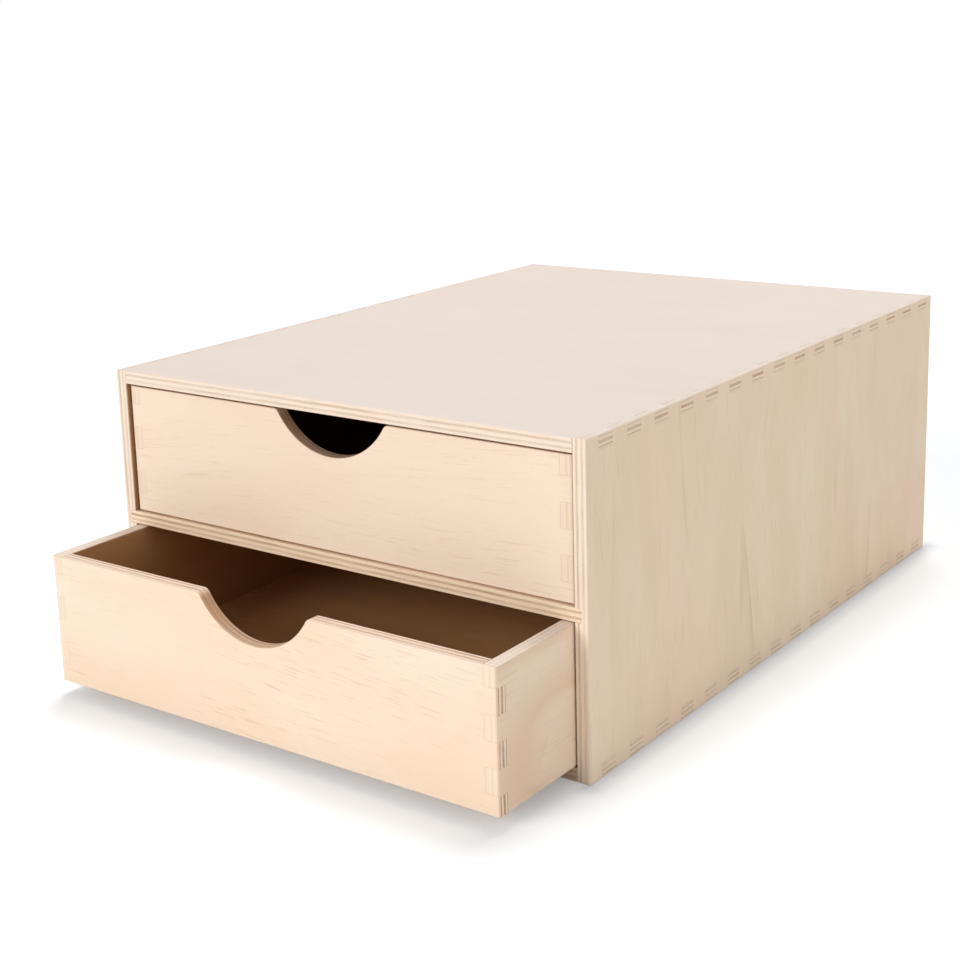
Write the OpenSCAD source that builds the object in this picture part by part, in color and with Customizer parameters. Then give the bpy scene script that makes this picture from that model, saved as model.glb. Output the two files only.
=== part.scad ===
// Desktop box with two drawers, made of 5-ply birch board with finger joints at every corner.
// X runs across the front, Y from front to back and Z up. The origin is the middle of the underside.

/* [Boards] */
// Thickness of the plywood boards
board_t = 5.7; // [4.7:0.1:6.7]
// Thickness of the thin panels at the back and under the drawers
panel_t = 3; // [2:0.5:4]
// Depth of each groove, housing and rebate
groove_d = 3; // [2:0.5:3]

/* [Cabinet] */
// Outside width
cabinet_w = 240; // [200:1:320]
// Outside depth, from front to back
cabinet_d = 325; // [260:1:400]
// Width of a finger along the top and bottom panels
finger_w = 10; // [8:0.5:12]
// Distance from the front to the first finger
first_finger = 8.5; // [6:0.5:12]

/* [Drawers] */
// Height of a drawer
drawer_h = 56; // [54:0.5:70]
// Width of a finger at the corners of a drawer
drawer_finger_w = 10; // [8:0.5:10]
// Height of the thin base above the lower edges
base_lift = 3; // [2:0.5:3]
// Width of the grip cut-out along the top edge
grip_w = 56; // [40:1:80]
// Depth of the grip cut-out
grip_depth = 16.6; // [10:0.2:20]

/* [Fit] */
// Gap at each side of a drawer
side_gap = 0.6; // [0.3:0.1:1.5]
// Gap under a drawer
run_gap = 0.5; // [0.2:0.1:0.8]
// Gap over the lower drawer
lower_head_gap = 0.5; // [0.4:0.1:2]
// Gap over the upper drawer
upper_head_gap = 1.0; // [0.4:0.1:2]
// How far a drawer can go in past the front edges, where the back stops it
home_recess = 5; // [3:0.5:8]

/* [Pose] */
// How far the upper drawer's front stands back from the front edges
upper_recess = 1.5; // [0:0.1:2.7]
// How far the lower drawer's front stands out of the cabinet
lower_open = 48.5; // [0:0.5:260]

/* [Hidden] */

birch = [0.93, 0.85, 0.75];
birch_side = [0.87, 0.77, 0.66];
birch_inner = [0.80, 0.66, 0.50];

// Cabinet: the heights of the bays and the fingers that fit along the depth
lower_bay_h = run_gap + drawer_h + lower_head_gap;
upper_bay_h = run_gap + drawer_h + upper_head_gap;
shelf_z = board_t + lower_bay_h;
cabinet_h = shelf_z + board_t + upper_bay_h + board_t;
inner_w = cabinet_w - 2 * board_t;
housed_w = inner_w + 2 * groove_d;
last_land = panel_t + 2;
finger_n = floor((cabinet_d - first_finger - last_land + finger_w) / (2 * finger_w));

// Drawers: their own frame has X = 0 in the middle, Y = 0 at the front face and Z = 0 at the lower edges
drawer_w = inner_w - 2 * side_gap;
drawer_d = cabinet_d - panel_t - home_recess;
base_w = drawer_w - 2 * board_t + 2 * groove_d;
base_d = drawer_d - 2 * board_t + 2 * groove_d;
corner_n = 6;
end_finger = (drawer_h - (corner_n - 2) * drawer_finger_w) / 2;
grip_r = (grip_w * grip_w / 4 + grip_depth * grip_depth) / (2 * grip_depth);
through = 1;
$fn = 96;

// Lower edge and height of one corner finger of a drawer, counted up from the bottom
function corner_z(i) = i == 0 ? 0 : end_finger + (i - 1) * drawer_finger_w;
function corner_h(i) = (i == 0 || i == corner_n - 1) ? end_finger : drawer_finger_w;

// A flat outline of height z over x, stood up facing the front and made one thickness deep
module stand_across(t) {
    translate([0, t, 0])
        rotate([90, 0, 0])
            linear_extrude(t)
                children();
}

// A flat outline of height z over y, stood up along the depth and made one thickness wide
module stand_along(t) {
    rotate([90, 0, 90])
        linear_extrude(t)
            children();
}

// The cabinet is drawn from its front edge backwards, then moved so that Y = 0 is its middle
module in_cabinet() {
    translate([0, -cabinet_d / 2, 0])
        children();
}

// ---- Cabinet ----

// The shelf, or with extra its housing, which is open at the front
module shelf_shape(extra = 0) {
    translate([-housed_w / 2, -extra, shelf_z])
        cube([housed_w, cabinet_d - panel_t + extra, board_t]);
}

// The back, or with extra its rebate, which is open behind
module back_shape(extra = 0) {
    translate([-housed_w / 2, cabinet_d - panel_t, board_t - groove_d])
        cube([housed_w, panel_t + extra, cabinet_h - 2 * board_t + 2 * groove_d]);
}

// Side panel with a notch for every finger, the housing of the shelf and the rebate of the back
module side_panel(x) {
    difference() {
        translate([x, 0, 0])
            stand_along(board_t)
                difference() {
                    square([cabinet_d, cabinet_h]);
                    for (i = [0 : finger_n - 1], z = [-through, cabinet_h - board_t])
                        translate([first_finger + 2 * i * finger_w, z])
                            square([finger_w, board_t + through]);
                }
        shelf_shape(through);
        back_shape(through);
    }
}

// Top or bottom panel: its fingers pass right through the side panels
module flat_panel(z) {
    difference() {
        translate([0, 0, z])
            linear_extrude(board_t) {
                translate([-inner_w / 2, 0])
                    square([inner_w, cabinet_d]);
                for (i = [0 : finger_n - 1])
                    translate([-cabinet_w / 2, first_finger + 2 * i * finger_w])
                        square([cabinet_w, finger_w]);
            }
        back_shape(through);
    }
}

module left_side_panel() {
    color(birch_side)
        in_cabinet() side_panel(-cabinet_w / 2);
}

module right_side_panel() {
    color(birch_side)
        in_cabinet() side_panel(cabinet_w / 2 - board_t);
}

module top_panel() {
    color(birch)
        in_cabinet() flat_panel(cabinet_h - board_t);
}

module bottom_panel() {
    color(birch)
        in_cabinet() flat_panel(0);
}

module middle_shelf() {
    color(birch)
        in_cabinet() shelf_shape();
}

module back_panel() {
    color(birch_inner)
        in_cabinet() back_shape();
}

// ---- Drawers ----

module base_shape() {
    translate([-base_w / 2, board_t - groove_d, base_lift])
        cube([base_w, base_d, panel_t]);
}

// Front or back board: every second corner finger, from the lowest, runs out to the sides
module cross_board(y) {
    difference() {
        translate([0, y, 0])
            stand_across(board_t) {
                translate([board_t - drawer_w / 2, 0])
                    square([drawer_w - 2 * board_t, drawer_h]);
                for (i = [0 : 2 : corner_n - 1])
                    translate([-drawer_w / 2, corner_z(i)])
                        square([drawer_w, corner_h(i)]);
            }
        base_shape();
    }
}

// Front board with the round grip cut-out in its top edge
module front_board() {
    difference() {
        cross_board(0);
        translate([0, board_t + through, drawer_h - grip_depth + grip_r])
            rotate([90, 0, 0])
                cylinder(r = grip_r, h = board_t + 2 * through);
    }
}

module back_board() {
    cross_board(drawer_d - board_t);
}

// Side board: the other corner fingers run out to the front and back faces
module side_board(x) {
    difference() {
        translate([x, 0, 0])
            stand_along(board_t) {
                translate([board_t, 0])
                    square([drawer_d - 2 * board_t, drawer_h]);
                for (i = [1 : 2 : corner_n - 1])
                    translate([0, corner_z(i)])
                        square([drawer_d, corner_h(i)]);
            }
        base_shape();
    }
}

module left_board() {
    side_board(-drawer_w / 2);
}

module right_board() {
    side_board(drawer_w / 2 - board_t);
}

module in_upper_bay() {
    in_cabinet()
        translate([0, upper_recess, shelf_z + board_t + run_gap])
            children();
}

module in_lower_bay() {
    in_cabinet()
        translate([0, -lower_open, board_t + run_gap])
            children();
}

module upper_front_board() {
    color(birch)
        in_upper_bay() front_board();
}

module upper_back_board() {
    color(birch)
        in_upper_bay() back_board();
}

module upper_left_board() {
    color(birch_side)
        in_upper_bay() left_board();
}

module upper_right_board() {
    color(birch_side)
        in_upper_bay() right_board();
}

module upper_base_panel() {
    color(birch_inner)
        in_upper_bay() base_shape();
}

module lower_front_board() {
    color(birch)
        in_lower_bay() front_board();
}

module lower_back_board() {
    color(birch)
        in_lower_bay() back_board();
}

module lower_left_board() {
    color(birch_side)
        in_lower_bay() left_board();
}

module lower_right_board() {
    color(birch_side)
        in_lower_bay() right_board();
}

module lower_base_panel() {
    color(birch_inner)
        in_lower_bay() base_shape();
}

left_side_panel();
right_side_panel();
top_panel();
bottom_panel();
middle_shelf();
back_panel();
upper_front_board();
upper_back_board();
upper_left_board();
upper_right_board();
upper_base_panel();
lower_front_board();
lower_back_board();
lower_left_board();
lower_right_board();
lower_base_panel();
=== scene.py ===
import math

import bpy
from mathutils import Matrix, Vector


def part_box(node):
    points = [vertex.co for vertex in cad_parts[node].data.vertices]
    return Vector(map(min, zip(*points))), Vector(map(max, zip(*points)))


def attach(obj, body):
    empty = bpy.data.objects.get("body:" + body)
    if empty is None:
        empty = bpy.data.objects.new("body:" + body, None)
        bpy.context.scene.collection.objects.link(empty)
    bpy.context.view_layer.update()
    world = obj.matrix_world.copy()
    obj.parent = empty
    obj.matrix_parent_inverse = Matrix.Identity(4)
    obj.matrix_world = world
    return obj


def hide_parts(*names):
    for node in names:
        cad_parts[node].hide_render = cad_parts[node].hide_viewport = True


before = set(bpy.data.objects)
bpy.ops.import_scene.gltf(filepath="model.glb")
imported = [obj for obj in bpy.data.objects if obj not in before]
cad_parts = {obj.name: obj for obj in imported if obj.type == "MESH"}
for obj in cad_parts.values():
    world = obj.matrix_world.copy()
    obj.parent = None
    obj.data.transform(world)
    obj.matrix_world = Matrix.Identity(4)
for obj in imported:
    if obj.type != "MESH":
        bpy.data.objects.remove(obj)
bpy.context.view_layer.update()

MM = 0.001

# ---------------------------------------------------------------------------
# Sizes of the joinery, in metres. Every other size is read from the boards' own boxes.
# ---------------------------------------------------------------------------

BOARD_T = 5.7 * MM
FINGER_W = 10 * MM
FIRST_FINGER = 8.5 * MM
LAST_LAND = 5 * MM
DRAWER_FINGER_W = 10 * MM
DRAWER_CORNER_FINGERS = 6
GRIP_W = 56 * MM
GRIP_DEPTH = 16.6 * MM
GRIP_SHOULDER = 3 * MM

# The grip's cutter: points along its outline, its height over the top edge, and a lift that keeps its ends
# just clear of that edge
GRIP_FACETS = 220
GRIP_HEADROOM = 4 * MM
GRIP_CLEAR = 0.02 * MM

# How far a cutter sticks out past the wood, and what follows for a notch as deep as a board is thick
THROUGH = 1 * MM
NOTCH_DEPTH = BOARD_T + THROUGH
NOTCH_MIDDLE = (BOARD_T - THROUGH) / 2
NOTCH_ACROSS = BOARD_T + 2 * THROUGH

# Widths of the hand-sanded edges. EASING is the widest, and the next four are shares of it.
EASING = 1.3 * MM
DRAWER_CORNER = 1.0
CABINET_CORNER = 0.32
OPEN_EDGE = 0.32
JOINT_LINE = 0.07
EASING_STEPS = 3

# An open edge is at least LONG_EDGE long and within TOUCHING of the outer box. Edges are rounded where
# the surface turns by more than FOLD_DEG, and its shading breaks where it still turns by CREASE_DEG.
LONG_EDGE = 30 * MM
TOUCHING = 0.02 * MM
FOLD_DEG = 15
CREASE_DEG = 12

# What rounding errors may amount to: between two points that are one, and in a count of fingers
WELD = 0.001 * MM
ROUNDING_SPARE = 0.001

X_AXIS = Vector((1, 0, 0))
Y_AXIS = Vector((0, 1, 0))
Z_AXIS = Vector((0, 0, 1))


# ---------------------------------------------------------------------------
# Camera: fitted to the photograph, whose middle is off the lens axis
# ---------------------------------------------------------------------------

CAMERA_PLACE = (0.424256, -0.644594, 0.282992)
CAMERA_TURN_DEG = (77.2827, 1.8832, 36.8846)
CAMERA_SENSOR = 36
CAMERA_LENS = 62.869
CAMERA_SHIFT = (0.04167, -0.10417)
CAMERA_NEAREST = 0.01
CAMERA_FARTHEST = 20


def make_camera():
    data = bpy.data.cameras.new("camera")
    data.sensor_fit = "HORIZONTAL"
    data.sensor_width = CAMERA_SENSOR
    data.lens = CAMERA_LENS
    data.shift_x, data.shift_y = CAMERA_SHIFT
    data.clip_start = CAMERA_NEAREST
    data.clip_end = CAMERA_FARTHEST
    camera = bpy.data.objects.new("camera", data)
    camera.location = CAMERA_PLACE
    camera.rotation_euler = [math.radians(turn) for turn in CAMERA_TURN_DEG]
    bpy.context.scene.collection.objects.link(camera)
    bpy.context.scene.camera = camera


# ---------------------------------------------------------------------------
# Small helpers for node trees
# ---------------------------------------------------------------------------


def add(tree, kind, **settings):
    node = tree.nodes.new(kind)
    for name, value in settings.items():
        setattr(node, name, value)
    return node


def feed(tree, socket, value):
    """Sets a socket to a plain value, or joins it to another node's output."""
    if isinstance(value, bpy.types.NodeSocket):
        tree.links.new(value, socket)
    else:
        socket.default_value = value


def wire(tree, kind, inputs, **settings):
    """Adds a node and feeds its inputs by name."""
    node = add(tree, kind, **settings)
    for name, value in inputs.items():
        feed(tree, node.inputs[name], value)
    return node


def maths(tree, operation, *values, clamp=False):
    node = add(tree, "ShaderNodeMath", operation=operation, use_clamp=clamp)
    for socket, value in zip(node.inputs, values):
        feed(tree, socket, value)
    return node.outputs["Value"]


def vector_maths(tree, operation, *values):
    node = add(tree, "ShaderNodeVectorMath", operation=operation)
    for socket, value in zip(node.inputs, values):
        feed(tree, socket, value)
    return node.outputs["Value" if operation in ("LENGTH", "DOT_PRODUCT") else "Vector"]


def split(tree, vector):
    node = add(tree, "ShaderNodeSeparateXYZ")
    feed(tree, node.inputs[0], vector)
    return node.outputs["X"], node.outputs["Y"], node.outputs["Z"]


def joined(tree, x, y, z):
    return wire(tree, "ShaderNodeCombineXYZ", {"X": x, "Y": y, "Z": z}).outputs["Vector"]


def blend_values(tree, share, first, second):
    node = add(tree, "ShaderNodeMix", data_type="FLOAT")
    feed(tree, node.inputs[0], share)
    feed(tree, node.inputs[2], first)
    feed(tree, node.inputs[3], second)
    return node.outputs[0]


def titled(name):
    """A socket's label, such as End On for end_on."""
    return name.replace("_", " ").title()


def sockets(kind, *labels, **values):
    """Sockets of one kind: by label where they have no value of their own, and by name where they have."""
    plain = [(label, "NodeSocket" + kind, None) for label in labels]
    return plain + [(titled(name), "NodeSocket" + kind, value) for name, value in values.items()]


def open_group(name, kind, inputs, outputs):
    """A node tree with named inputs and outputs. Returns the tree and its two end nodes."""
    tree = bpy.data.node_groups.new(name, kind)
    for label, socket, default in inputs:
        made = tree.interface.new_socket(label, in_out="INPUT", socket_type=socket)
        if default is not None:
            made.default_value = default
    for label, socket, _ in outputs:
        tree.interface.new_socket(label, in_out="OUTPUT", socket_type=socket)
    start = add(tree, "NodeGroupInput")
    end = add(tree, "NodeGroupOutput")
    return tree, start, end


# ---------------------------------------------------------------------------
# Boxes, each a lowest and a highest corner
# ---------------------------------------------------------------------------


def middle_of(box):
    return (box[0] + box[1]) / 2


def grown(box, low=(0, 0, 0), high=(0, 0, 0)):
    """A box that reaches further at its lowest or its highest corner."""
    return box[0] - Vector(low), box[1] + Vector(high)


def box_of(*nodes):
    """The one box that holds several boards."""
    boxes = [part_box(node) for node in nodes]
    low = Vector(min(box[0][axis] for box in boxes) for axis in range(3))
    high = Vector(max(box[1][axis] for box in boxes) for axis in range(3))
    return low, high


# ---------------------------------------------------------------------------
# Boards: one rule cuts them all
# ---------------------------------------------------------------------------


def moved(tree, geometry, offset):
    move = wire(tree, "GeometryNodeTransform", {"Geometry": geometry, "Translation": offset})
    return move.outputs["Geometry"]


def box_between(tree, low, high):
    """A box mesh from its lowest to its highest corner."""
    cube = wire(tree, "GeometryNodeMeshCube", {"Size": vector_maths(tree, "SUBTRACT", high, low)})
    middle = vector_maths(tree, "MULTIPLY", vector_maths(tree, "ADD", low, high), (0.5, 0.5, 0.5))
    return moved(tree, cube.outputs["Mesh"], middle)


def make_notch_rows():
    """Two matching rows of square notches, one along each of two opposite edges of a board."""
    tree, start, end = open_group(
        "notch_rows",
        "GeometryNodeTree",
        sockets("Vector", "First Notch", "Notch Size", "Step", "Opposite Row") + sockets("Int", count=1),
        sockets("Geometry", "Notches"),
    )
    given = start.outputs
    spread = {"Count": given["Count"], "Start Location": given["First Notch"], "Offset": given["Step"]}
    line = wire(tree, "GeometryNodeMeshLine", spread, mode="OFFSET").outputs["Mesh"]
    both = add(tree, "GeometryNodeJoinGeometry")
    for row in (line, moved(tree, line, given["Opposite Row"])):
        feed(tree, both.inputs["Geometry"], row)
    notch = wire(tree, "GeometryNodeMeshCube", {"Size": given["Notch Size"]})
    repeated = {"Points": both.outputs["Geometry"], "Instance": notch.outputs["Mesh"]}
    repeat = wire(tree, "GeometryNodeInstanceOnPoints", repeated)
    real = wire(tree, "GeometryNodeRealizeInstances", {"Geometry": repeat.outputs["Instances"]})
    feed(tree, end.inputs["Notches"], real.outputs["Geometry"])
    return tree


def make_grip_cutter():
    """The shape that cuts a grip: a round bite whose shoulders roll over into the board's top edge.

    The centre lies on the top edge. A box's lower side is bent to the outline of the bite."""
    tree, start, end = open_group(
        "grip_cutter",
        "GeometryNodeTree",
        sockets("Vector", "Centre") + sockets("Float", "Radius", "Depth", "Shoulder", "Length"),
        sockets("Geometry", "Cutter"),
    )
    given = start.outputs

    def leg(longest, other):
        """The third side of a right-angled triangle, or 0 where there is none."""
        square = maths(tree, "MULTIPLY", longest, longest)
        square = maths(tree, "SUBTRACT", square, maths(tree, "MULTIPLY", other, other))
        return maths(tree, "SQRT", maths(tree, "MAXIMUM", square, 0.0))

    radius, shoulder = given["Radius"], given["Shoulder"]
    rise = maths(tree, "SUBTRACT", radius, given["Depth"])
    reach = maths(tree, "ADD", radius, shoulder)
    shoulder_x = leg(reach, maths(tree, "ADD", rise, shoulder))
    meeting_x = maths(tree, "MULTIPLY", shoulder_x, maths(tree, "DIVIDE", radius, reach))

    width = maths(tree, "MULTIPLY", maths(tree, "ADD", shoulder_x, THROUGH), 2)
    size = joined(tree, width, given["Length"], 2 * GRIP_HEADROOM)
    block = wire(tree, "GeometryNodeMeshCube", {"Vertices X": GRIP_FACETS, "Size": size})
    place = add(tree, "GeometryNodeInputPosition").outputs["Position"]
    along, through, height = split(tree, place)
    from_middle = maths(tree, "ABSOLUTE", along)
    bite = maths(tree, "SUBTRACT", rise, leg(radius, from_middle))
    inward = maths(tree, "MAXIMUM", maths(tree, "SUBTRACT", shoulder_x, from_middle), 0.0)
    rolled = maths(tree, "SUBTRACT", leg(shoulder, inward), shoulder)
    on_shoulder = maths(tree, "GREATER_THAN", from_middle, meeting_x)
    outline = maths(tree, "ADD", blend_values(tree, on_shoulder, bite, rolled), GRIP_CLEAR)
    bent = {
        "Geometry": block.outputs["Mesh"],
        "Selection": maths(tree, "LESS_THAN", height, 0.0),
        "Position": joined(tree, along, through, outline),
    }
    bend = wire(tree, "GeometryNodeSetPosition", bent)
    feed(tree, end.inputs["Cutter"], moved(tree, bend.outputs["Geometry"], given["Centre"]))
    return tree


def make_edge_easing():
    """Marks each edge's share of EASING: most at the upright corners, least along a glued joint.

    Edges that run nearly in line get the same share, because the bevel tears between two widths."""
    tree, start, end = open_group(
        "edge_easing",
        "GeometryNodeTree",
        [
            *sockets("Geometry", "Board"),
            *sockets("Vector", "Outer Low", "Outer High", "Grip Centre", "Grip Reach"),
            *sockets("Float", corner_share=0.4),
        ],
        sockets("Geometry", "Board"),
    )
    given = start.outputs
    place = add(tree, "GeometryNodeInputPosition").outputs["Position"]
    outer_faces = 0
    for corner in ("Outer Low", "Outer High"):
        gap = vector_maths(tree, "ABSOLUTE", vector_maths(tree, "SUBTRACT", place, given[corner]))
        for distance in split(tree, gap):
            touching = maths(tree, "LESS_THAN", distance, TOUCHING)
            outer_faces = maths(tree, "ADD", outer_faces, touching)
    on_two = maths(tree, "GREATER_THAN", outer_faces, 1.5)
    on_any = maths(tree, "GREATER_THAN", outer_faces, 0.5)
    ends = add(tree, "GeometryNodeInputMeshEdgeVertices")
    span = vector_maths(tree, "SUBTRACT", ends.outputs["Position 1"], ends.outputs["Position 2"])
    length = vector_maths(tree, "LENGTH", span)
    long_edge = maths(tree, "GREATER_THAN", length, LONG_EDGE)
    open_edge = maths(tree, "MULTIPLY", on_any, long_edge)
    climb = maths(tree, "ABSOLUTE", split(tree, span)[2])
    upright = maths(tree, "GREATER_THAN", climb, maths(tree, "MULTIPLY", length, 0.5))
    offset = vector_maths(tree, "ABSOLUTE", vector_maths(tree, "SUBTRACT", place, given["Grip Centre"]))
    spare = vector_maths(tree, "SUBTRACT", given["Grip Reach"], offset)
    spare_x, _, spare_z = split(tree, spare)
    grip_edge = maths(tree, "GREATER_THAN", maths(tree, "MINIMUM", spare_x, spare_z), 0.0)
    share = JOINT_LINE
    for mask, amount in (
        (open_edge, OPEN_EDGE),
        (on_two, blend_values(tree, upright, OPEN_EDGE, given["Corner Share"])),
        (grip_edge, OPEN_EDGE),
    ):
        share = maths(tree, "MAXIMUM", share, maths(tree, "MULTIPLY", mask, amount))
    angle = add(tree, "GeometryNodeInputMeshEdgeAngle").outputs["Unsigned Angle"]
    turned = maths(tree, "GREATER_THAN", angle, math.radians(FOLD_DEG))
    weights = {
        "Geometry": given["Board"],
        "Name": "bevel_weight_edge",
        "Value": maths(tree, "MULTIPLY", share, turned),
    }
    mark = wire(tree, "GeometryNodeStoreNamedAttribute", weights, data_type="FLOAT", domain="EDGE")
    feed(tree, end.inputs["Board"], mark.outputs["Geometry"])
    return tree


def make_finger_board(notch_rows, grip_cutter, edge_easing):
    """A plywood board cut to size, with its finger notches, its groove, its rebate and its grip."""
    tree, start, end = open_group(
        "finger_board",
        "GeometryNodeTree",
        [
            *sockets("Geometry", "Board"),
            *sockets("Bool", "Fingers", "Groove", "Rebate", "Grip"),
            *sockets("Vector", "Low", "High", "Outer Low", "Outer High"),
            *sockets("Vector", "First Notch", "Notch Size", "Step", "Opposite Row"),
            *sockets("Vector", "Groove Low", "Groove High", "Rebate Low", "Rebate High"),
            *sockets("Vector", "Grip Centre", "Grip Reach"),
            *sockets("Float", "Grip Radius", "Grip Depth", "Grip Shoulder", "Grip Length"),
            *sockets("Float", corner_share=0.4),
            *sockets("Int", count=1),
            *sockets("Material", "Finish"),
        ],
        sockets("Geometry", "Board"),
    )
    given = start.outputs
    row_names = ("First Notch", "Notch Size", "Step", "Count", "Opposite Row")
    row_values = {name: given[name] for name in row_names}
    rows = wire(tree, "GeometryNodeGroup", row_values, node_tree=notch_rows)
    grip_names = ("Centre", "Radius", "Depth", "Shoulder", "Length")
    grip_values = {name: given["Grip " + name] for name in grip_names}
    cutter = wire(tree, "GeometryNodeGroup", grip_values, node_tree=grip_cutter)
    board = box_between(tree, given["Low"], given["High"])
    cuts = (
        (given["Fingers"], rows.outputs["Notches"]),
        (given["Groove"], box_between(tree, given["Groove Low"], given["Groove High"])),
        (given["Rebate"], box_between(tree, given["Rebate Low"], given["Rebate High"])),
        (given["Grip"], cutter.outputs["Cutter"]),
    )
    for wanted, shape in cuts:
        meshes = {"Mesh 1": board, "Mesh 2": shape}
        cut = wire(tree, "GeometryNodeMeshBoolean", meshes, operation="DIFFERENCE", solver="EXACT")
        either = {"Switch": wanted, "False": board, "True": cut.outputs["Mesh"]}
        board = wire(tree, "GeometryNodeSwitch", either, input_type="GEOMETRY").outputs["Output"]
    weld = wire(tree, "GeometryNodeMergeByDistance", {"Geometry": board, "Distance": WELD})
    easing_names = ("Outer Low", "Outer High", "Corner Share", "Grip Centre", "Grip Reach")
    easing_values = {name: given[name] for name in easing_names}
    easing_values["Board"] = weld.outputs["Geometry"]
    easing = wire(tree, "GeometryNodeGroup", easing_values, node_tree=edge_easing)
    real = wire(tree, "GeometryNodeRealizeInstances", {"Geometry": easing.outputs["Board"]})
    painted = {"Geometry": real.outputs["Geometry"], "Material": given["Finish"]}
    paint = wire(tree, "GeometryNodeSetMaterial", painted)
    feed(tree, end.inputs["Board"], paint.outputs["Geometry"])
    return tree


def identifiers(tree):
    """The identifier of each named input, which a modifier's settings go by."""
    return {
        item.name: item.identifier
        for item in tree.interface.items_tree
        if item.item_type == "SOCKET" and item.in_out == "INPUT"
    }


def cut_board(node, tree, outer, finish, **cuts):
    """Runs the board tree with one board's sizes, rounds its edges and keeps the result as a mesh."""
    low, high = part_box(node)
    blank = bpy.data.objects.new(node + "_blank", bpy.data.meshes.new(node + "_blank"))
    bpy.context.scene.collection.objects.link(blank)
    rule = blank.modifiers.new("board", "NODES")
    rule.node_group = tree
    socket = identifiers(tree)
    settings = {"Low": low, "High": high, "Outer Low": outer[0], "Outer High": outer[1], "Finish": finish}
    settings.update({titled(name): value for name, value in cuts.items()})
    for name, value in settings.items():
        if isinstance(value, Vector):
            value = tuple(value)
        rule[socket[name]] = value
    rounding = blank.modifiers.new("eased edges", "BEVEL")
    rounding.limit_method = "WEIGHT"
    rounding.offset_type = "OFFSET"
    rounding.width = EASING
    rounding.segments = EASING_STEPS
    rounding.use_clamp_overlap = False
    rounding.miter_outer = "MITER_SHARP"
    shown = blank.evaluated_get(bpy.context.evaluated_depsgraph_get())
    mesh = bpy.data.meshes.new_from_object(shown)
    bpy.data.objects.remove(blank)
    for face in mesh.polygons:
        face.use_smooth = True
    mesh.set_sharp_from_angle(angle=math.radians(CREASE_DEG))
    board = bpy.data.objects.new(node + "_board", mesh)
    bpy.context.scene.collection.objects.link(board)
    return board


def notch_cuts(first, size, step, count, opposite):
    """The board tree's settings for two rows of finger notches."""
    return {
        "fingers": True,
        "first_notch": Vector(first),
        "notch_size": Vector(size),
        "step": Vector(step),
        "count": count,
        "opposite_row": Vector(opposite),
    }


def box_cut(kind, box):
    """The board tree's settings for a groove or a rebate."""
    return {kind: True, kind + "_low": box[0], kind + "_high": box[1]}


def grip_cut(centre):
    """The board tree's settings for a grip whose middle, on the top edge, is at the centre."""
    return {
        "grip": True,
        "grip_centre": Vector(centre),
        "grip_reach": Vector((GRIP_W / 2 + GRIP_SHOULDER, BOARD_T, GRIP_DEPTH + THROUGH)),
        "grip_radius": (GRIP_W * GRIP_W / 4 + GRIP_DEPTH * GRIP_DEPTH) / (2 * GRIP_DEPTH),
        "grip_depth": GRIP_DEPTH,
        "grip_shoulder": GRIP_SHOULDER,
        "grip_length": NOTCH_ACROSS,
    }


def keep(board, node, body):
    """Puts a finished board in the place of its solid, on the body that carries it."""
    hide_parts(node)
    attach(board, body)


# ---------------------------------------------------------------------------
# Finishes
# ---------------------------------------------------------------------------

CREAM = (0.965, 0.795, 0.630, 1)
HONEY = (0.930, 0.720, 0.535, 1)
BLUSH = (0.950, 0.735, 0.585, 1)
FLECK = (0.660, 0.440, 0.250, 1)
# Darker orange for the rounded edges: partly burnished wood, partly painted shade on the rounded edges.
BURNISH_AND_EDGE_SHADE = (0.780, 0.520, 0.330, 1)
# Painted shade for the grip's walls, which darkens their colour.
GRIP_SHADE = (0.660, 0.560, 0.480)
LAYER_LIGHT = (0.955, 0.800, 0.640, 1)
LAYER_DARK = (0.490, 0.280, 0.145, 1)

# How bare, sanded wood takes the light, and how far the veneer pales at a board's borders, partly from
# sanding wear and partly as a painted highlight along the edges
WOOD_ROUGHNESS = 0.66
WOOD_SPECULAR = 0.32
GRAIN_DEPTH = 0.06 * MM
GRAIN_STRENGTH = 0.35
BORDER_PALE_WEAR_AND_HIGHLIGHT = 0.45

# Where one step of the seed moves a sheet of veneer in its log, in millimetres
SHEET_STEP = (317, 173, 91)


def streak(tree, vector, scale, detail, roughness=0.5, seed=0.0):
    """Noise stretched by a scale along each axis of the board, around 0.5."""
    stretched = vector_maths(tree, "MULTIPLY", vector, scale)
    inputs = {"Vector": stretched, "W": seed, "Scale": 1, "Detail": detail, "Roughness": roughness}
    return wire(tree, "ShaderNodeTexNoise", inputs, noise_dimensions="4D").outputs["Fac"]


def ramp(tree, value, low, high, to_low=0.0, to_high=1.0):
    inputs = {"Value": value, "From Min": low, "From Max": high, "To Min": to_low, "To Max": to_high}
    node = wire(tree, "ShaderNodeMapRange", inputs, interpolation_type="SMOOTHSTEP", clamp=True)
    return node.outputs["Result"]


def blend_colours(tree, share, first, second):
    node = add(tree, "ShaderNodeMix", data_type="RGBA", clamp_result=True)
    feed(tree, node.inputs[0], share)
    feed(tree, node.inputs[6], first)
    feed(tree, node.inputs[7], second)
    return node.outputs[2]


def weighted(tree, *pairs):
    """The sum of masks, each times its weight."""
    total = 0.0
    for mask, weight in pairs:
        total = maths(tree, "ADD", total, maths(tree, "MULTIPLY", mask, weight))
    return total


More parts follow.
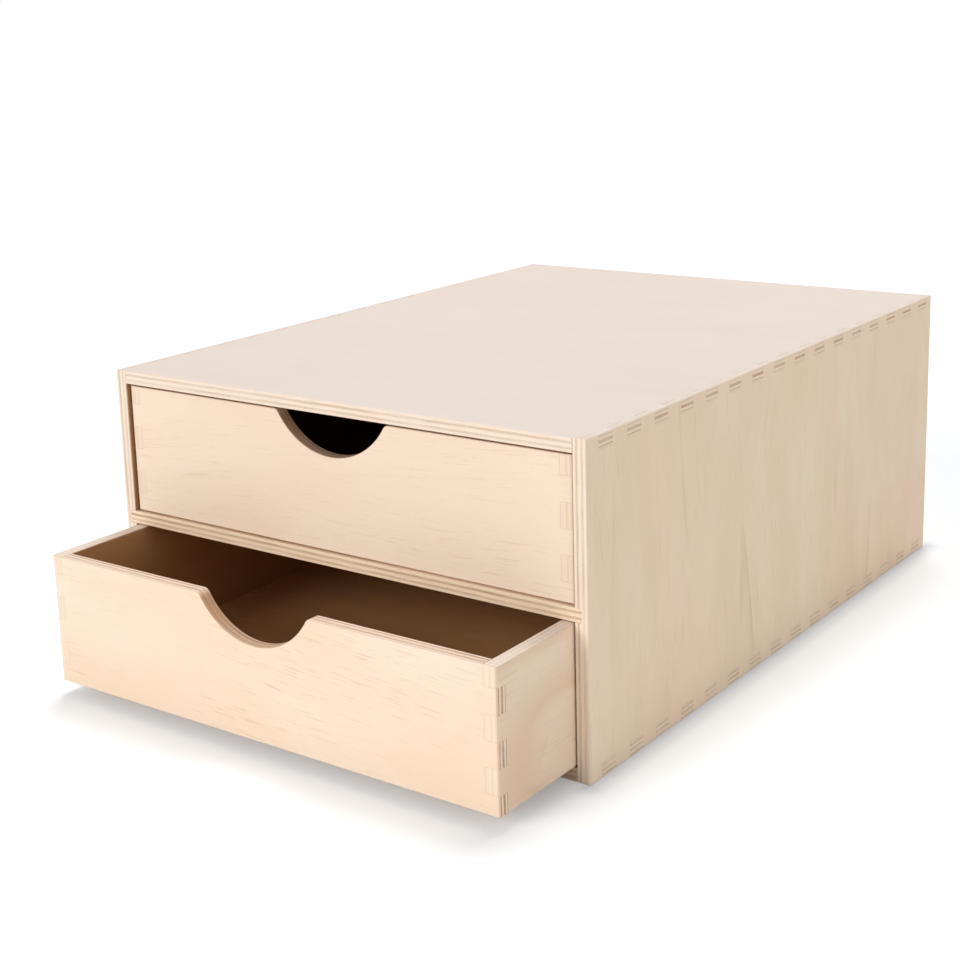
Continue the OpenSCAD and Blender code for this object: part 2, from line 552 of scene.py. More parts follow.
def make_veneer():
    """Rotary-cut birch face: soft patches, thin growth lines, faint fibres and short tan flecks.

    The vector is in millimetres, with X along the grain and Z out of the face."""
    tree, start, end = open_group(
        "birch_veneer",
        "ShaderNodeTree",
        [
            *sockets("Vector", "Vector"),
            *sockets("Color", light=CREAM, dark=HONEY, blush=BLUSH, fleck=FLECK),
            *sockets("Float", figure=0.5, lines=0.3, rings=6.0, curl=0.0026, banding=0.3),
            *sockets("Float", fibre=0.3, flecks=0.5, slant=0.0, seed=0.0),
        ],
        sockets("Color", "Color") + sockets("Float", "Sheen", "Height"),
    )
    given = start.outputs
    seeds = joined(tree, given["Seed"], given["Seed"], given["Seed"])
    place = vector_maths(tree, "ADD", given["Vector"], vector_maths(tree, "MULTIPLY", seeds, SHEET_STEP))
    along, across, out = split(tree, place)

    # The grain wanders slowly to one side and back, and leans by the slant
    drift = streak(tree, place, (0.0045, 0.010, 0.010), 1, seed=8.3)
    bend = maths(tree, "MULTIPLY", maths(tree, "SUBTRACT", drift, 0.5), 34)
    sway = streak(tree, place, (0.016, 0.040, 0.030), 1, seed=1.7)
    bend = maths(tree, "ADD", bend, maths(tree, "MULTIPLY", maths(tree, "SUBTRACT", sway, 0.5), 4))
    bend = maths(tree, "ADD", bend, maths(tree, "MULTIPLY", along, given["Slant"]))
    flowing = joined(tree, along, maths(tree, "ADD", across, bend), out)

    # Soft patches of figure, and blotches of the warmer colour
    patches = ramp(tree, streak(tree, flowing, (0.012, 0.032, 0.03), 3, 0.6, seed=3.1), 0.34, 0.66)
    blotches = ramp(tree, streak(tree, place, (0.0075, 0.014, 0.014), 1, 0.5, seed=7.4), 0.36, 0.64)

    # Growth lines are the contours of a slow noise, broken in places, each with a soft band before it
    turning = joined(tree, maths(tree, "MULTIPLY", along, given["Curl"]), across, out)
    bowed = vector_maths(tree, "ADD", turning, joined(tree, 0.0, bend, 0.0))
    contours = streak(tree, bowed, (1.0, 0.017, 0.017), 1, 0.4, seed=5.9)
    ring = maths(tree, "FRACT", maths(tree, "MULTIPLY", contours, given["Rings"]))
    late_wood = maths(tree, "POWER", ring, 12)
    band = maths(tree, "MULTIPLY", maths(tree, "POWER", ring, 2), ramp(tree, ring, 0.72, 1.0, 1.0, 0.0))
    broken = ramp(tree, streak(tree, flowing, (0.014, 0.045, 0.045), 2, 0.5, seed=2.6), 0.46, 0.62)
    growth = maths(tree, "MULTIPLY", maths(tree, "MULTIPLY", late_wood, broken), given["Lines"])

    fibres = ramp(tree, streak(tree, flowing, (0.045, 2.8, 0.4), 3, 0.6, seed=2.2), 0.30, 0.72)
    tone = blend_values(tree, given["Banding"], patches, band)
    tone = maths(tree, "MULTIPLY", tone, given["Figure"])
    tone = maths(tree, "ADD", tone, maths(tree, "MULTIPLY", fibres, given["Fibre"]), clamp=True)
    warm = blend_colours(tree, blotches, given["Light"], given["Blush"])
    colour = blend_colours(tree, tone, warm, given["Dark"])

    # Flecks: long and short dashes that crowd together here and there
    dashes = ramp(tree, streak(tree, flowing, (0.075, 2.0, 0.5), 1, 0.5, seed=6.4), 0.590, 0.72)
    short = ramp(tree, streak(tree, flowing, (0.34, 3.4, 0.8), 1, 0.5, seed=4.5), 0.62, 0.74)
    crowd = streak(tree, place, (0.014, 0.026, 0.026), 2, 0.5, seed=9.2)
    crowded = ramp(tree, crowd, 0.34, 0.64, 0.22, 1.0)
    flecks = maths(tree, "MAXIMUM", dashes, maths(tree, "MULTIPLY", short, 0.75))
    flecks = maths(tree, "MULTIPLY", maths(tree, "MULTIPLY", flecks, crowded), given["Flecks"])
    flecks = maths(tree, "ADD", flecks, growth, clamp=True)
    colour = blend_colours(tree, flecks, colour, given["Fleck"])
    feed(tree, end.inputs["Color"], colour)
    feed(tree, end.inputs["Sheen"], weighted(tree, (fibres, 0.08), (patches, 0.06)))
    feed(tree, end.inputs["Height"], weighted(tree, (fibres, 0.5), (flecks, -0.9)))
    return tree


def make_layers():
    """The stacked veneers on a board's edge, darkest and speckled where their cut ends show.

    The vector is in millimetres, with X along the face grain and Z through the board, 0 at its middle.
    End On is 1 where the edge looks along the face grain, so that the odd layers show their ends,
    and 0 where the even ones do."""
    tree, start, end = open_group(
        "ply_layers",
        "ShaderNodeTree",
        [
            *sockets("Vector", "Vector"),
            *sockets("Color", light=LAYER_LIGHT, end_light=LAYER_LIGHT, dark=LAYER_DARK),
            *sockets("Float", end_on=0.0, facing=0.0, thickness=5.7, layers=5.0),
            *sockets("Float", edge_contrast=0.4, end_contrast=0.8, joint=0.4, seed=0.0),
        ],
        sockets("Color", "Color") + sockets("Float", "Face", "Height"),
    )
    given = start.outputs
    place = given["Vector"]
    through = split(tree, place)[2]
    shift = maths(tree, "MULTIPLY", given["Seed"], 41)
    cell_place = vector_maths(tree, "ADD", place, joined(tree, shift, shift, shift))

    # The layer that a point lies in, with joints that aren't quite straight
    wobble = streak(tree, cell_place, (0.10, 0.10, 0.0), 2, 0.6, seed=0.4)
    wobble = maths(tree, "MULTIPLY", maths(tree, "SUBTRACT", wobble, 0.5), 0.50)
    level = maths(tree, "DIVIDE", maths(tree, "ADD", through, wobble), given["Thickness"])
    level = maths(tree, "MULTIPLY", maths(tree, "ADD", level, 0.5), given["Layers"])
    wave = maths(tree, "SINE", maths(tree, "MULTIPLY", level, math.pi))
    depth = maths(tree, "DIVIDE", maths(tree, "ABSOLUTE", through), given["Thickness"])
    inside = ramp(tree, depth, 0.33, 0.40, 1.0, 0.0)

    # The layers whose cut ends show on this edge
    even_layers = maths(tree, "ADD", maths(tree, "MULTIPLY", wave, -1.5), 0.15, clamp=True)
    even_layers = maths(tree, "MULTIPLY", even_layers, ramp(tree, depth, 0.385, 0.40, 1.0, 0.0))
    odd_layers = maths(tree, "ADD", maths(tree, "MULTIPLY", wave, 2.4), 0.65, clamp=True)
    odd_layers = maths(tree, "MULTIPLY", odd_layers, blend_values(tree, inside, 0.06, 1.0))
    cut_ends = blend_values(tree, given["End On"], even_layers, odd_layers)

    # Each layer's own tone, the glue between two layers, and the cells of the wood
    chance = add(tree, "ShaderNodeTexWhiteNoise", noise_dimensions="1D")
    feed(tree, chance.inputs["W"], maths(tree, "ADD", maths(tree, "FLOOR", level), given["Seed"]))
    own_tone = maths(tree, "ADD", maths(tree, "MULTIPLY", chance.outputs["Value"], 0.55), 0.45)
    glue = ramp(tree, maths(tree, "ABSOLUTE", wave), 0.0, 0.28, 1.0, 0.0)
    glue = maths(tree, "MULTIPLY", glue, ramp(tree, depth, 0.46, 0.47, 1.0, 0.0))
    stripes = streak(tree, cell_place, (0.08, 3.2, 3.6), 2, 0.6, seed=2.8)
    cross_stripes = streak(tree, cell_place, (3.2, 0.08, 3.6), 2, 0.6, seed=7.7)
    cells = blend_values(tree, even_layers, stripes, cross_stripes)
    grain = ramp(tree, cells, 0.34, 0.68)
    along_tone = ramp(tree, streak(tree, cell_place, (0.045, 0.045, 0.40), 2, 0.5, seed=5.1), 0.34, 0.66)

    # How dark all of this makes the edge
    dark = maths(tree, "MULTIPLY", cut_ends, weighted(tree, (own_tone, 0.85), (along_tone, 0.50)))
    dark = maths(tree, "ADD", dark, maths(tree, "MULTIPLY", maths(tree, "SUBTRACT", grain, 0.45), 0.55))
    glued = maths(tree, "MULTIPLY", glue, blend_values(tree, given["End On"], 0.50, 0.10))
    dark = maths(tree, "MAXIMUM", dark, maths(tree, "MULTIPLY", glued, along_tone))
    contrast = blend_values(tree, given["End On"], given["Edge Contrast"], given["End Contrast"])
    dark = maths(tree, "MULTIPLY", dark, contrast)
    joint = maths(tree, "MULTIPLY", ramp(tree, depth, 0.465, 0.49), given["End On"])
    dark = maths(tree, "MAXIMUM", dark, maths(tree, "MULTIPLY", joint, given["Joint"]), clamp=True)
    light = blend_colours(tree, given["End On"], given["Light"], given["End Light"])
    feed(tree, end.inputs["Color"], blend_colours(tree, dark, light, given["Dark"]))
    outermost = ramp(tree, depth, 0.40, 0.45)
    feed(tree, end.inputs["Face"], maths(tree, "MULTIPLY", outermost, given["Facing"]))
    feed(tree, end.inputs["Height"], weighted(tree, (grain, 0.6), (cut_ends, -0.5)))
    return tree


def make_arris():
    """Two masks from the distance to a board's borders, with the vector and half size in millimetres.

    Mask is 1 at the border, where sanding wears the face and a painted highlight pales it. Cut In is 1
    away from it, as inside the grip, where painted shade darkens the walls."""
    tree, start, end = open_group(
        "arris_wear_highlight_shade",
        "ShaderNodeTree",
        sockets("Vector", "Vector", "Half Size") + sockets("Float", width=1.6),
        sockets("Float", "Mask", "Cut In"),
    )
    given = start.outputs
    off_centre = vector_maths(tree, "ABSOLUTE", given["Vector"])
    from_end, from_side, _ = split(tree, vector_maths(tree, "SUBTRACT", given["Half Size"], off_centre))
    nearest = maths(tree, "MINIMUM", from_end, from_side)
    ragged = streak(tree, given["Vector"], (0.25, 0.25, 0.25), 3, 0.6, seed=3.3)
    reach = maths(tree, "MULTIPLY", given["Width"], ragged)
    feed(tree, end.inputs["Mask"], ramp(tree, nearest, 0.0, reach, 1.0, 0.0))
    feed(tree, end.inputs["Cut In"], ramp(tree, nearest, 0.4, 3.0))
    return tree


# What holds for a board whose own look doesn't say otherwise
BASE_LOOK = {
    "light": CREAM,
    "dark": HONEY,
    "blush": BLUSH,
    "fleck": FLECK,
    "figure": 0.5,
    "lines": 0.08,
    "rings": 6.0,
    "curl": 0.0026,
    "banding": 0.25,
    "fibre": 0.12,
    "flecks": 0.4,
    "slant": 0.0,
    "layer_light": LAYER_LIGHT,
    "end_light": LAYER_LIGHT,
    "layer_dark": LAYER_DARK,
    "edge_contrast": 0.4,
    "end_contrast": 0.8,
    "joint": 0.35,
    "burnish_and_edge_shade": 0.25,
    "grip_shade": 0.0,
    "thickness": 5.7,
    "layers": 5,
    "inner_shade": None,
}


def board_vector(tree, place, axes, box):
    """A board's own vector in millimetres: 0 at its middle, X along the grain and Z out of its face."""
    centred = add(tree, "ShaderNodeMapping", vector_type="TEXTURE")
    feed(tree, centred.inputs["Vector"], place)
    centred.inputs["Location"].default_value = middle_of(box)
    centred.inputs["Rotation"].default_value = Matrix(axes).transposed().to_euler("XYZ")
    centred.inputs["Scale"].default_value = (MM, MM, MM)
    return centred.outputs["Vector"]


def looks_along(tree, normal, axis):
    """1 where the surface looks along the axis, either way, and 0 where it is level with it."""
    return maths(tree, "ABSOLUTE", vector_maths(tree, "DOT_PRODUCT", normal, tuple(axis)))


def place_veneer(tree, group, place, seed, look):
    """The face veneer, with the inside colours, which are painted shade, on the side that looks into the
    box.
    """
    face = add(tree, "ShaderNodeGroup", node_tree=group)
    feed(tree, face.inputs["Vector"], place)
    outside = ramp(tree, split(tree, place)[2], -0.5, 0.5)
    for label in ("light", "dark", "blush", "fleck"):
        colour = look[label]
        if look["inner_shade"]:
            colour = blend_colours(tree, outside, look["inner_shade"][label], colour)
        feed(tree, face.inputs[label.title()], colour)
    for label in ("figure", "lines", "rings", "curl", "banding", "fibre", "flecks", "slant"):
        face.inputs[label.title()].default_value = look[label]
    face.inputs["Seed"].default_value = seed
    return face.outputs


def place_layers(tree, group, place, end_on, facing, seed, look):
    """The layers of veneer on the board's edges."""
    edge = add(tree, "ShaderNodeGroup", node_tree=group)
    feed(tree, edge.inputs["Vector"], place)
    feed(tree, edge.inputs["End On"], ramp(tree, end_on, 0.86, 0.97))
    feed(tree, edge.inputs["Facing"], ramp(tree, facing, 0.50, 0.85))
    for label, name in (("Light", "layer_light"), ("End Light", "end_light"), ("Dark", "layer_dark")):
        edge.inputs[label].default_value = look[name]
    for label in ("thickness", "layers", "edge_contrast", "end_contrast", "joint"):
        edge.inputs[titled(label)].default_value = look[label]
    edge.inputs["Seed"].default_value = seed
    return edge.outputs


def wood_finish(board, grain, outward, groups, look):
    """Birch plywood for one board: its face veneer, and its layers wherever an edge shows."""
    look = {**BASE_LOOK, **look}
    seed = SEEDS[board]
    material = bpy.data.materials.new(board)
    material.use_nodes = True
    tree = material.node_tree
    tree.nodes.clear()
    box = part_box(board)
    axes = (grain, outward.cross(grain), outward)
    where = add(tree, "ShaderNodeTexCoord").outputs
    place = board_vector(tree, where["Object"], axes, box)
    end_on, sideways, facing = [looks_along(tree, where["Normal"], axis) for axis in axes]
    face = place_veneer(tree, groups["veneer"], place, seed, look)
    edge = place_layers(tree, groups["layers"], place, end_on, facing, seed, look)
    arris_masks = add(tree, "ShaderNodeGroup", node_tree=groups["arris"])
    feed(tree, arris_masks.inputs["Vector"], place)
    size = box[1] - box[0]
    arris_masks.inputs["Half Size"].default_value = [abs(size.dot(axis)) / 2 / MM for axis in axes]

    on_face = edge["Face"]
    # Paler near the borders: partly sanding wear, partly a painted highlight along the edges.
    wear_and_highlight = maths(tree, "MULTIPLY", arris_masks.outputs["Mask"], on_face)
    sanded_and_highlight = maths(tree, "MULTIPLY", wear_and_highlight, BORDER_PALE_WEAR_AND_HIGHLIGHT)
    face_colour = blend_colours(tree, sanded_and_highlight, face["Color"], look["layer_light"])
    colour = blend_colours(tree, on_face, edge["Color"], face_colour)
    # The rounded edges are blended toward the darker orange: partly burnish, partly painted shade.
    squarest = maths(tree, "MAXIMUM", maths(tree, "MAXIMUM", end_on, facing), sideways)
    rounded = ramp(tree, squarest, 0.75, 0.97, 1.0, 0.0)
    colour = blend_colours(tree, maths(tree, "MULTIPLY", rounded, look["burnish_and_edge_shade"]), colour, BURNISH_AND_EDGE_SHADE)
    # Painted shade in the grip: edges away from the board's borders, such as the grip's walls, are
    # darkened.
    cut_in = maths(tree, "MULTIPLY", arris_masks.outputs["Cut In"], maths(tree, "SUBTRACT", 1.0, on_face))
    grip_shaded = vector_maths(tree, "MULTIPLY", colour, GRIP_SHADE)
    colour = blend_colours(tree, maths(tree, "MULTIPLY", cut_in, look["grip_shade"]), colour, grip_shaded)
    height = blend_values(tree, on_face, edge["Height"], face["Height"])
    relief = {"Strength": GRAIN_STRENGTH, "Distance": GRAIN_DEPTH, "Height": height}
    shine = weighted(tree, (face["Sheen"], 1.0), (wear_and_highlight, 0.06))
    surface = {
        "Specular IOR Level": WOOD_SPECULAR,
        "Base Color": colour,
        "Roughness": maths(tree, "SUBTRACT", WOOD_ROUGHNESS, shine),
        "Normal": wire(tree, "ShaderNodeBump", relief).outputs["Normal"],
    }
    shader = wire(tree, "ShaderNodeBsdfPrincipled", surface)
    wire(tree, "ShaderNodeOutputMaterial", {"Surface": shader.outputs["BSDF"]})
    return material


# ---------------------------------------------------------------------------
# Cabinet
# ---------------------------------------------------------------------------


def build_cabinet(tree, groups):
    """Two sides, a top and a bottom that finger into each other, the shelf and the thin back."""
    low, high = box_of("left_side_panel", "right_side_panel", "top_panel", "bottom_panel")
    outer = (low, high)
    finger_span = high.y - low.y - FIRST_FINGER - LAST_LAND + FINGER_W
    count = math.floor(finger_span / (2 * FINGER_W) + ROUNDING_SPARE)
    step = (0, 2 * FINGER_W, 0)
    housing = box_cut("groove", grown(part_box("middle_shelf"), low=(0, THROUGH, 0)))
    rebate = box_cut("rebate", grown(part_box("back_panel"), high=(0, THROUGH, 0)))
    for node, outward in (("left_side_panel", -X_AXIS), ("right_side_panel", X_AXIS)):
        finish = wood_finish(node, Z_AXIS, outward, groups, SIDE_LOOK)
        first_y = low.y + FIRST_FINGER + FINGER_W / 2
        notches = notch_cuts(
            first=(middle_of(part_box(node)).x, first_y, low.z + NOTCH_MIDDLE),
            size=(NOTCH_ACROSS, FINGER_W, NOTCH_DEPTH),
            step=step,
            count=count,
            opposite=(0, 0, high.z - low.z - BOARD_T + THROUGH),
        )
        cuts = {**notches, **housing, **rebate}
        keep(cut_board(node, tree, outer, finish, corner_share=CABINET_CORNER, **cuts), node, "cabinet")
    for node, outward, look in (("top_panel", Z_AXIS, TOP_COOL_LIGHT_LOOK), ("bottom_panel", -Z_AXIS, BOTTOM_SHADED_EDGE_LOOK)):
        finish = wood_finish(node, X_AXIS, outward, groups, look)
        first_y = low.y + FIRST_FINGER - FINGER_W / 2
        notches = notch_cuts(
            first=(low.x + NOTCH_MIDDLE, first_y, middle_of(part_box(node)).z),
            size=(NOTCH_DEPTH, FINGER_W, NOTCH_ACROSS),
            step=step,
            count=count + 1,
            opposite=(high.x - low.x - BOARD_T + THROUGH, 0, 0),
        )
        cuts = {**notches, **rebate}
        keep(cut_board(node, tree, outer, finish, corner_share=CABINET_CORNER, **cuts), node, "cabinet")
    finish = wood_finish("middle_shelf", X_AXIS, Z_AXIS, groups, SHELF_SHADE_AND_BOUNCE_LOOK)
    shelf = cut_board("middle_shelf", tree, outer, finish, corner_share=CABINET_CORNER)
    keep(shelf, "middle_shelf", "cabinet")
    finish = wood_finish("back_panel", X_AXIS, Y_AXIS, groups, BACK_LOOK)
    keep(cut_board("back_panel", tree, outer, finish), "back_panel", "cabinet")


# ---------------------------------------------------------------------------
# Drawers
# ---------------------------------------------------------------------------

DRAWER_PARTS = ("front_board", "back_board", "left_board", "right_board", "base_panel")


def build_drawer(name, tree, groups):
    """Front and back boards with the outer fingers, side boards with the others, and the thin base."""
    body = name + "_drawer"
    front, back, left, right, base = [name + "_" + part for part in DRAWER_PARTS]
    low, high = box_of(front, back, left, right)
    outer = (low, high)
    end_finger = (high.z - low.z - (DRAWER_CORNER_FINGERS - 2) * DRAWER_FINGER_W) / 2
    count = DRAWER_CORNER_FINGERS // 2
    step = (0, 0, 2 * DRAWER_FINGER_W)
    groove = box_cut("groove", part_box(base))
    for node, outward, look in ((front, -Y_AXIS, FRONT_LOOKS[name]), (back, Y_AXIS, DRAWER_BACK_LOOK)):
        finish = wood_finish(node, X_AXIS, outward, groups, look)
        middle_y = middle_of(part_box(node)).y
        notches = notch_cuts(
            first=(low.x + NOTCH_MIDDLE, middle_y, low.z + end_finger + DRAWER_FINGER_W / 2),
            size=(NOTCH_DEPTH, NOTCH_ACROSS, DRAWER_FINGER_W),
            step=step,
            count=count,
            opposite=(high.x - low.x - BOARD_T + THROUGH, 0, 0),
        )
        cuts = {**notches, **groove}
        if node == front:
            cuts.update(grip_cut((middle_of(outer).x, middle_y, high.z)))
        keep(cut_board(node, tree, outer, finish, corner_share=DRAWER_CORNER, **cuts), node, body)
    for node, outward in ((left, -X_AXIS), (right, X_AXIS)):
        finish = wood_finish(node, Y_AXIS, outward, groups, DRAWER_SIDE_LOOK)
        first_z = low.z + end_finger - DRAWER_FINGER_W / 2
        notches = notch_cuts(
            first=(middle_of(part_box(node)).x, low.y + NOTCH_MIDDLE, first_z),
            size=(NOTCH_ACROSS, NOTCH_DEPTH, DRAWER_FINGER_W),
            step=step,
            count=count,
            opposite=(0, high.y - low.y - BOARD_T + THROUGH, 0),
        )
        cuts = {**notches, **groove}
        keep(cut_board(node, tree, outer, finish, corner_share=DRAWER_CORNER, **cuts), node, body)
    finish = wood_finish(base, X_AXIS, Z_AXIS, groups, THIN_TONE_AND_SHADE_LOOK)
    keep(cut_board(base, tree, outer, finish), base, body)


# ---------------------------------------------------------------------------
# How each kind of board looks
# ---------------------------------------------------------------------------

# Inside colours: painted shade, darker and browner than the outside ones, as the inside of the cabinet and
# of the drawers lies in shade.
BAY_INNER_SHADE = {
    "light": (0.420, 0.235, 0.105, 1),
    "dark": (0.320, 0.165, 0.065, 1),
    "blush": (0.390, 0.210, 0.090, 1),
    "fleck": (0.220, 0.110, 0.045, 1),
}
TRAY_INNER_SHADE = {
    "light": (0.500, 0.275, 0.120, 1),
    "dark": (0.370, 0.190, 0.075, 1),
    "blush": (0.460, 0.245, 0.105, 1),
    "fleck": (0.250, 0.125, 0.050, 1),
}
SIDE_LOOK = {
    "light": (0.930, 0.782, 0.598, 1),
    "dark": (0.875, 0.670, 0.480, 1),
    "blush": (0.955, 0.745, 0.572, 1),
    "fleck": (0.580, 0.390, 0.240, 1),
    "inner_shade": BAY_INNER_SHADE,
    "figure": 0.62,
    "lines": 0.32,
    "rings": 9.0,
    "curl": 0.0010,
    "banding": 0.12,
    "fibre": 0.05,
    "flecks": 0.26,
    "layer_light": (0.965, 0.815, 0.680, 1),
    # The finger ends on the sides' top edges are greyer pink: painted cool light from above.
    "end_light": (0.850, 0.745, 0.665, 1),
    "edge_contrast": 0.40,
    "end_contrast": 0.30,
}
# The top's face colours are greyer and pinker than the other faces: painted cool light from above.
TOP_COOL_LIGHT_LOOK = {
    "light": (0.835, 0.738, 0.665, 1),
    "dark": (0.790, 0.670, 0.580, 1),
    "blush": (0.845, 0.720, 0.645, 1),
    "fleck": (0.640, 0.480, 0.360, 1),
    "inner_shade": BAY_INNER_SHADE,
    "figure": 0.45,
    "lines": 0.06,
    "fibre": 0.10,
    "flecks": 0.24,
    "layer_light": (0.965, 0.815, 0.680, 1),
    "end_light": (0.925, 0.770, 0.600, 1),
    "edge_contrast": 0.42,
    "end_contrast": 0.62,
}
# The bottom panel's edges are darker and more striped: painted shade, as its front edge lies under the
# lower drawer.
BOTTOM_SHADED_EDGE_LOOK = {
    **TOP_COOL_LIGHT_LOOK,
    "layer_light": (0.720, 0.530, 0.380, 1),
    "edge_contrast": 0.62,
}
# The shelf's faces are darker, painted shade inside the cabinet, and its front edge warmer, painted warm
# bounced light.
SHELF_SHADE_AND_BOUNCE_LOOK = {
    "light": (0.720, 0.520, 0.350, 1),
    "dark": (0.600, 0.400, 0.250, 1),
    "layer_light": (0.985, 0.790, 0.590, 1),
    "edge_contrast": 0.60,
}
# The edges of the drawers' front and back boards are pinkish white: painted cool light from above, as on
# the rims.
FRONT_RIM_COOL_LIGHT = (0.845, 0.690, 0.575, 1)
FRONT_BASE = {
    "inner_shade": TRAY_INNER_SHADE,
    "layer_light": FRONT_RIM_COOL_LIGHT,
    "edge_contrast": 0.78,
    "end_contrast": 1.0,
    "joint": 0.30,
    "burnish_and_edge_shade": 0.70,
    "grip_shade": 0.90,
}
FRONT_LOOKS = {
    "upper": {
        **FRONT_BASE,
        "light": (0.970, 0.805, 0.645, 1),
        "blush": (0.955, 0.755, 0.610, 1),
        "figure": 0.28,
        "flecks": 0.36,
        "slant": -0.02,
    },
    "lower": {
        **FRONT_BASE,
        "light": (0.965, 0.832, 0.692, 1),
        "blush": (0.950, 0.755, 0.605, 1),
        "figure": 0.70,
        "flecks": 0.46,
        "slant": 0.09,
    },
}
DRAWER_BACK_LOOK = {"inner_shade": TRAY_INNER_SHADE, "layer_light": FRONT_RIM_COOL_LIGHT, "end_contrast": 1.0}
DRAWER_SIDE_LOOK = {
    "light": (0.965, 0.825, 0.645, 1),
    "dark": (0.790, 0.540, 0.345, 1),
    "inner_shade": TRAY_INNER_SHADE,
    "figure": 0.85,
    "lines": 0.18,
    "rings": 5.0,
    "curl": 0.0090,
    "banding": 0.80,
    "flecks": 0.38,
    # The side boards' rims are pinkish white: painted cool light from above.
    "layer_light": (0.870, 0.745, 0.650, 1),
    "end_light": (0.950, 0.775, 0.605, 1),
    "edge_contrast": 0.28,
    "end_contrast": 0.13,
    "joint": 0.10,
    "burnish_and_edge_shade": 0.55,
}
# Thin base panels in a brown tone, which is partly their own and partly painted shade for the dark inside
# of the drawers.
THIN_TONE_AND_SHADE_LOOK = {
    "thickness": 3.0,
    "layers": 3,
    "light": (0.770, 0.475, 0.230, 1),
    "dark": (0.610, 0.350, 0.155, 1),
    "blush": (0.720, 0.425, 0.200, 1),
    "fleck": (0.300, 0.165, 0.085, 1),
    "flecks": 0.6,
    "fibre": 0.35,
}
BACK_LOOK = {
    **THIN_TONE_AND_SHADE_LOOK,
    "light": (0.880, 0.715, 0.540, 1),
    "dark": (0.800, 0.600, 0.420, 1),
    "blush": (0.865, 0.675, 0.500, 1),
    "fleck": (0.520, 0.340, 0.200, 1),
    "inner_shade": BAY_INNER_SHADE,
    "flecks": 0.4,
    "fibre": 0.20,
}

# Where on its log each board's veneer was peeled: no two boards show the same figure.
SEEDS = {
    "left_side_panel": 1.3,
    "right_side_panel": 2.9,
    "top_panel": 4.1,
    "bottom_panel": 5.7,
    "middle_shelf": 6.2,
    "back_panel": 7.8,
    "upper_front_board": 8.4,
    "upper_back_board": 9.1,
    "upper_left_board": 10.6,
    "upper_right_board": 11.2,
    "upper_base_panel": 12.5,
    "lower_front_board": 13.7,
    "lower_back_board": 14.3,
    "lower_left_board": 15.8,
    "lower_right_board": 22.4,
    "lower_base_panel": 17.9,
}


# ---------------------------------------------------------------------------
# Studio: white world, white floor and three broad lamps
# ---------------------------------------------------------------------------

AMBIENT = (0.985, 0.99, 1.0, 1)
AMBIENT_STRENGTH = 0.36
FLOOR_HALF = 3.0
FLOOR_LEVEL = -0.05 * MM

# The floor's colour as it is seen, the glow that keeps its shadows pale, and its colour for bounced light
FLOOR_SEEN = (0.935, 0.956, 0.972)
FLOOR_LIFT = (0.197, 0.208, 0.216)
FLOOR_OTHERWISE = (0.90, 0.89, 0.88, 1)

# The strip of floor that the right side panel would light up: its tint at the panel's foot, how far from
# the foot it starts and ends, and how many times faster it fades under the cabinet
FOOT_SHADE = (0.66, 0.672, 0.705, 1)
FOOT_START = -3 * MM
FOOT_REACH = 11.5 * MM
FOOT_FADE_UNDER = 2.5

LAMP_WARM = (1.0, 0.985, 0.96)
LAMP_PALE = (1.0, 0.99, 0.98)


def seen_directly(tree):
    """1 for what the camera, a reflection or a clear material looks at, and 0 for light."""
    path = add(tree, "ShaderNodeLightPath").outputs
    seen = maths(tree, "MAXIMUM", path["Is Camera Ray"], path["Is Glossy Ray"])
    return maths(tree, "MAXIMUM", seen, path["Is Transmission Ray"])


def make_world():
    """An even, dimmed light from all around, which is seen as plain white."""
    world = bpy.data.worlds.new("white studio")
    bpy.context.scene.world = world
    world.use_nodes = True
    tree = world.node_tree
    tree.nodes.clear()
    glow = wire(tree, "ShaderNodeBackground", {"Color": AMBIENT, "Strength": AMBIENT_STRENGTH})
    white = wire(tree, "ShaderNodeBackground", {"Color": (1, 1, 1, 1), "Strength": 1})
    mix = add(tree, "ShaderNodeMixShader")
    feed(tree, mix.inputs[0], seen_directly(tree))
    feed(tree, mix.inputs[1], glow.outputs["Background"])
    feed(tree, mix.inputs[2], white.outputs["Background"])
    wire(tree, "ShaderNodeOutputWorld", {"Surface": mix.outputs["Shader"]})


def shade_beside_cabinet(tree):
    """A tint that darkens the floor along the foot of the cabinet's right side, and is white elsewhere."""
    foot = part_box("right_side_panel")[1]
    x, y, _ = split(tree, add(tree, "ShaderNodeTexCoord").outputs["Object"])
    outward = maths(tree, "SUBTRACT", x, foot.x)
    beside = maths(tree, "MAXIMUM", outward, maths(tree, "MULTIPLY", outward, -FOOT_FADE_UNDER))
    past_end = maths(tree, "SUBTRACT", maths(tree, "ABSOLUTE", y), foot.y)
    past_end = maths(tree, "MAXIMUM", past_end, 0.0)
    distance = vector_maths(tree, "LENGTH", joined(tree, beside, past_end, 0.0))
    away = ramp(tree, distance, FOOT_START, FOOT_REACH)
    return blend_colours(tree, away, FOOT_SHADE, (1, 1, 1, 1))


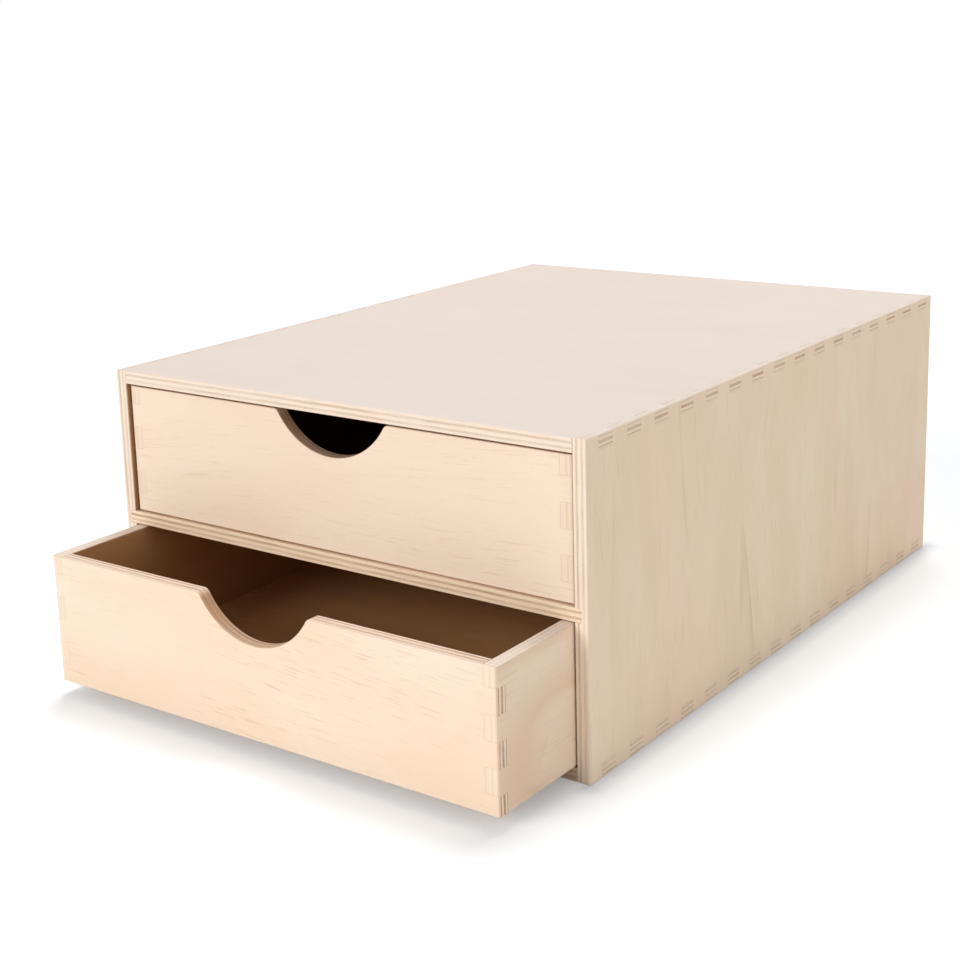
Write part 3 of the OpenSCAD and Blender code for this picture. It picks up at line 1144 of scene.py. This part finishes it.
def floor_finish():
    """A matt white that keeps the object's shadow, with a glow where the floor is looked at."""
    material = bpy.data.materials.new("white floor")
    material.use_nodes = True
    tree = material.node_tree
    tree.nodes.clear()
    seen = seen_directly(tree)
    shade = shade_beside_cabinet(tree)
    shown = vector_maths(tree, "MULTIPLY", shade, FLOOR_SEEN)
    matt_colour = blend_colours(tree, seen, FLOOR_OTHERWISE, shown)
    matt = wire(tree, "ShaderNodeBsdfDiffuse", {"Color": matt_colour})
    lifted = vector_maths(tree, "MULTIPLY", shade, FLOOR_LIFT)
    lift = wire(tree, "ShaderNodeEmission", {"Color": lifted, "Strength": seen})
    both = add(tree, "ShaderNodeAddShader")
    feed(tree, both.inputs[0], matt.outputs["BSDF"])
    feed(tree, both.inputs[1], lift.outputs["Emission"])
    wire(tree, "ShaderNodeOutputMaterial", {"Surface": both.outputs["Shader"]})
    return material


def make_floor():
    signs = ((-1, -1), (1, -1), (1, 1), (-1, 1))
    corners = [(x * FLOOR_HALF, y * FLOOR_HALF, FLOOR_LEVEL) for x, y in signs]
    mesh = bpy.data.meshes.new("floor")
    mesh.from_pydata(corners, [], [(0, 1, 2, 3)])
    mesh.materials.append(floor_finish())
    floor = bpy.data.objects.new("floor", mesh)
    bpy.context.scene.collection.objects.link(floor)


def make_lamp(name, direction, strength, spread_deg, colour):
    """A far, broad lamp: direction points from the object to the lamp."""
    data = bpy.data.lights.new(name, "SUN")
    data.energy = strength
    data.angle = math.radians(spread_deg)
    data.color = colour
    lamp = bpy.data.objects.new(name, data)
    lamp.rotation_euler = (-Vector(direction)).to_track_quat("-Z", "Y").to_euler()
    bpy.context.scene.collection.objects.link(lamp)


def make_lamps():
    make_lamp("front lamp", (-0.32, -0.88, 0.35), 1.52, 30, LAMP_WARM)
    make_lamp("side lamp", (0.98, -0.10, 0.14), 0.51, 40, LAMP_WARM)
    make_lamp("overhead lamp", (-0.09, 0.34, 0.93), 1.40, 25, LAMP_PALE)


# ---------------------------------------------------------------------------
# The whole scene, in order
# ---------------------------------------------------------------------------


def build():
    make_camera()
    make_world()
    make_floor()
    make_lamps()
    bpy.context.scene.view_settings.view_transform = "Standard"
    groups = {"veneer": make_veneer(), "layers": make_layers(), "arris": make_arris()}
    tree = make_finger_board(make_notch_rows(), make_grip_cutter(), make_edge_easing())
    build_cabinet(tree, groups)
    build_drawer("upper", tree, groups)
    build_drawer("lower", tree, groups)


build()
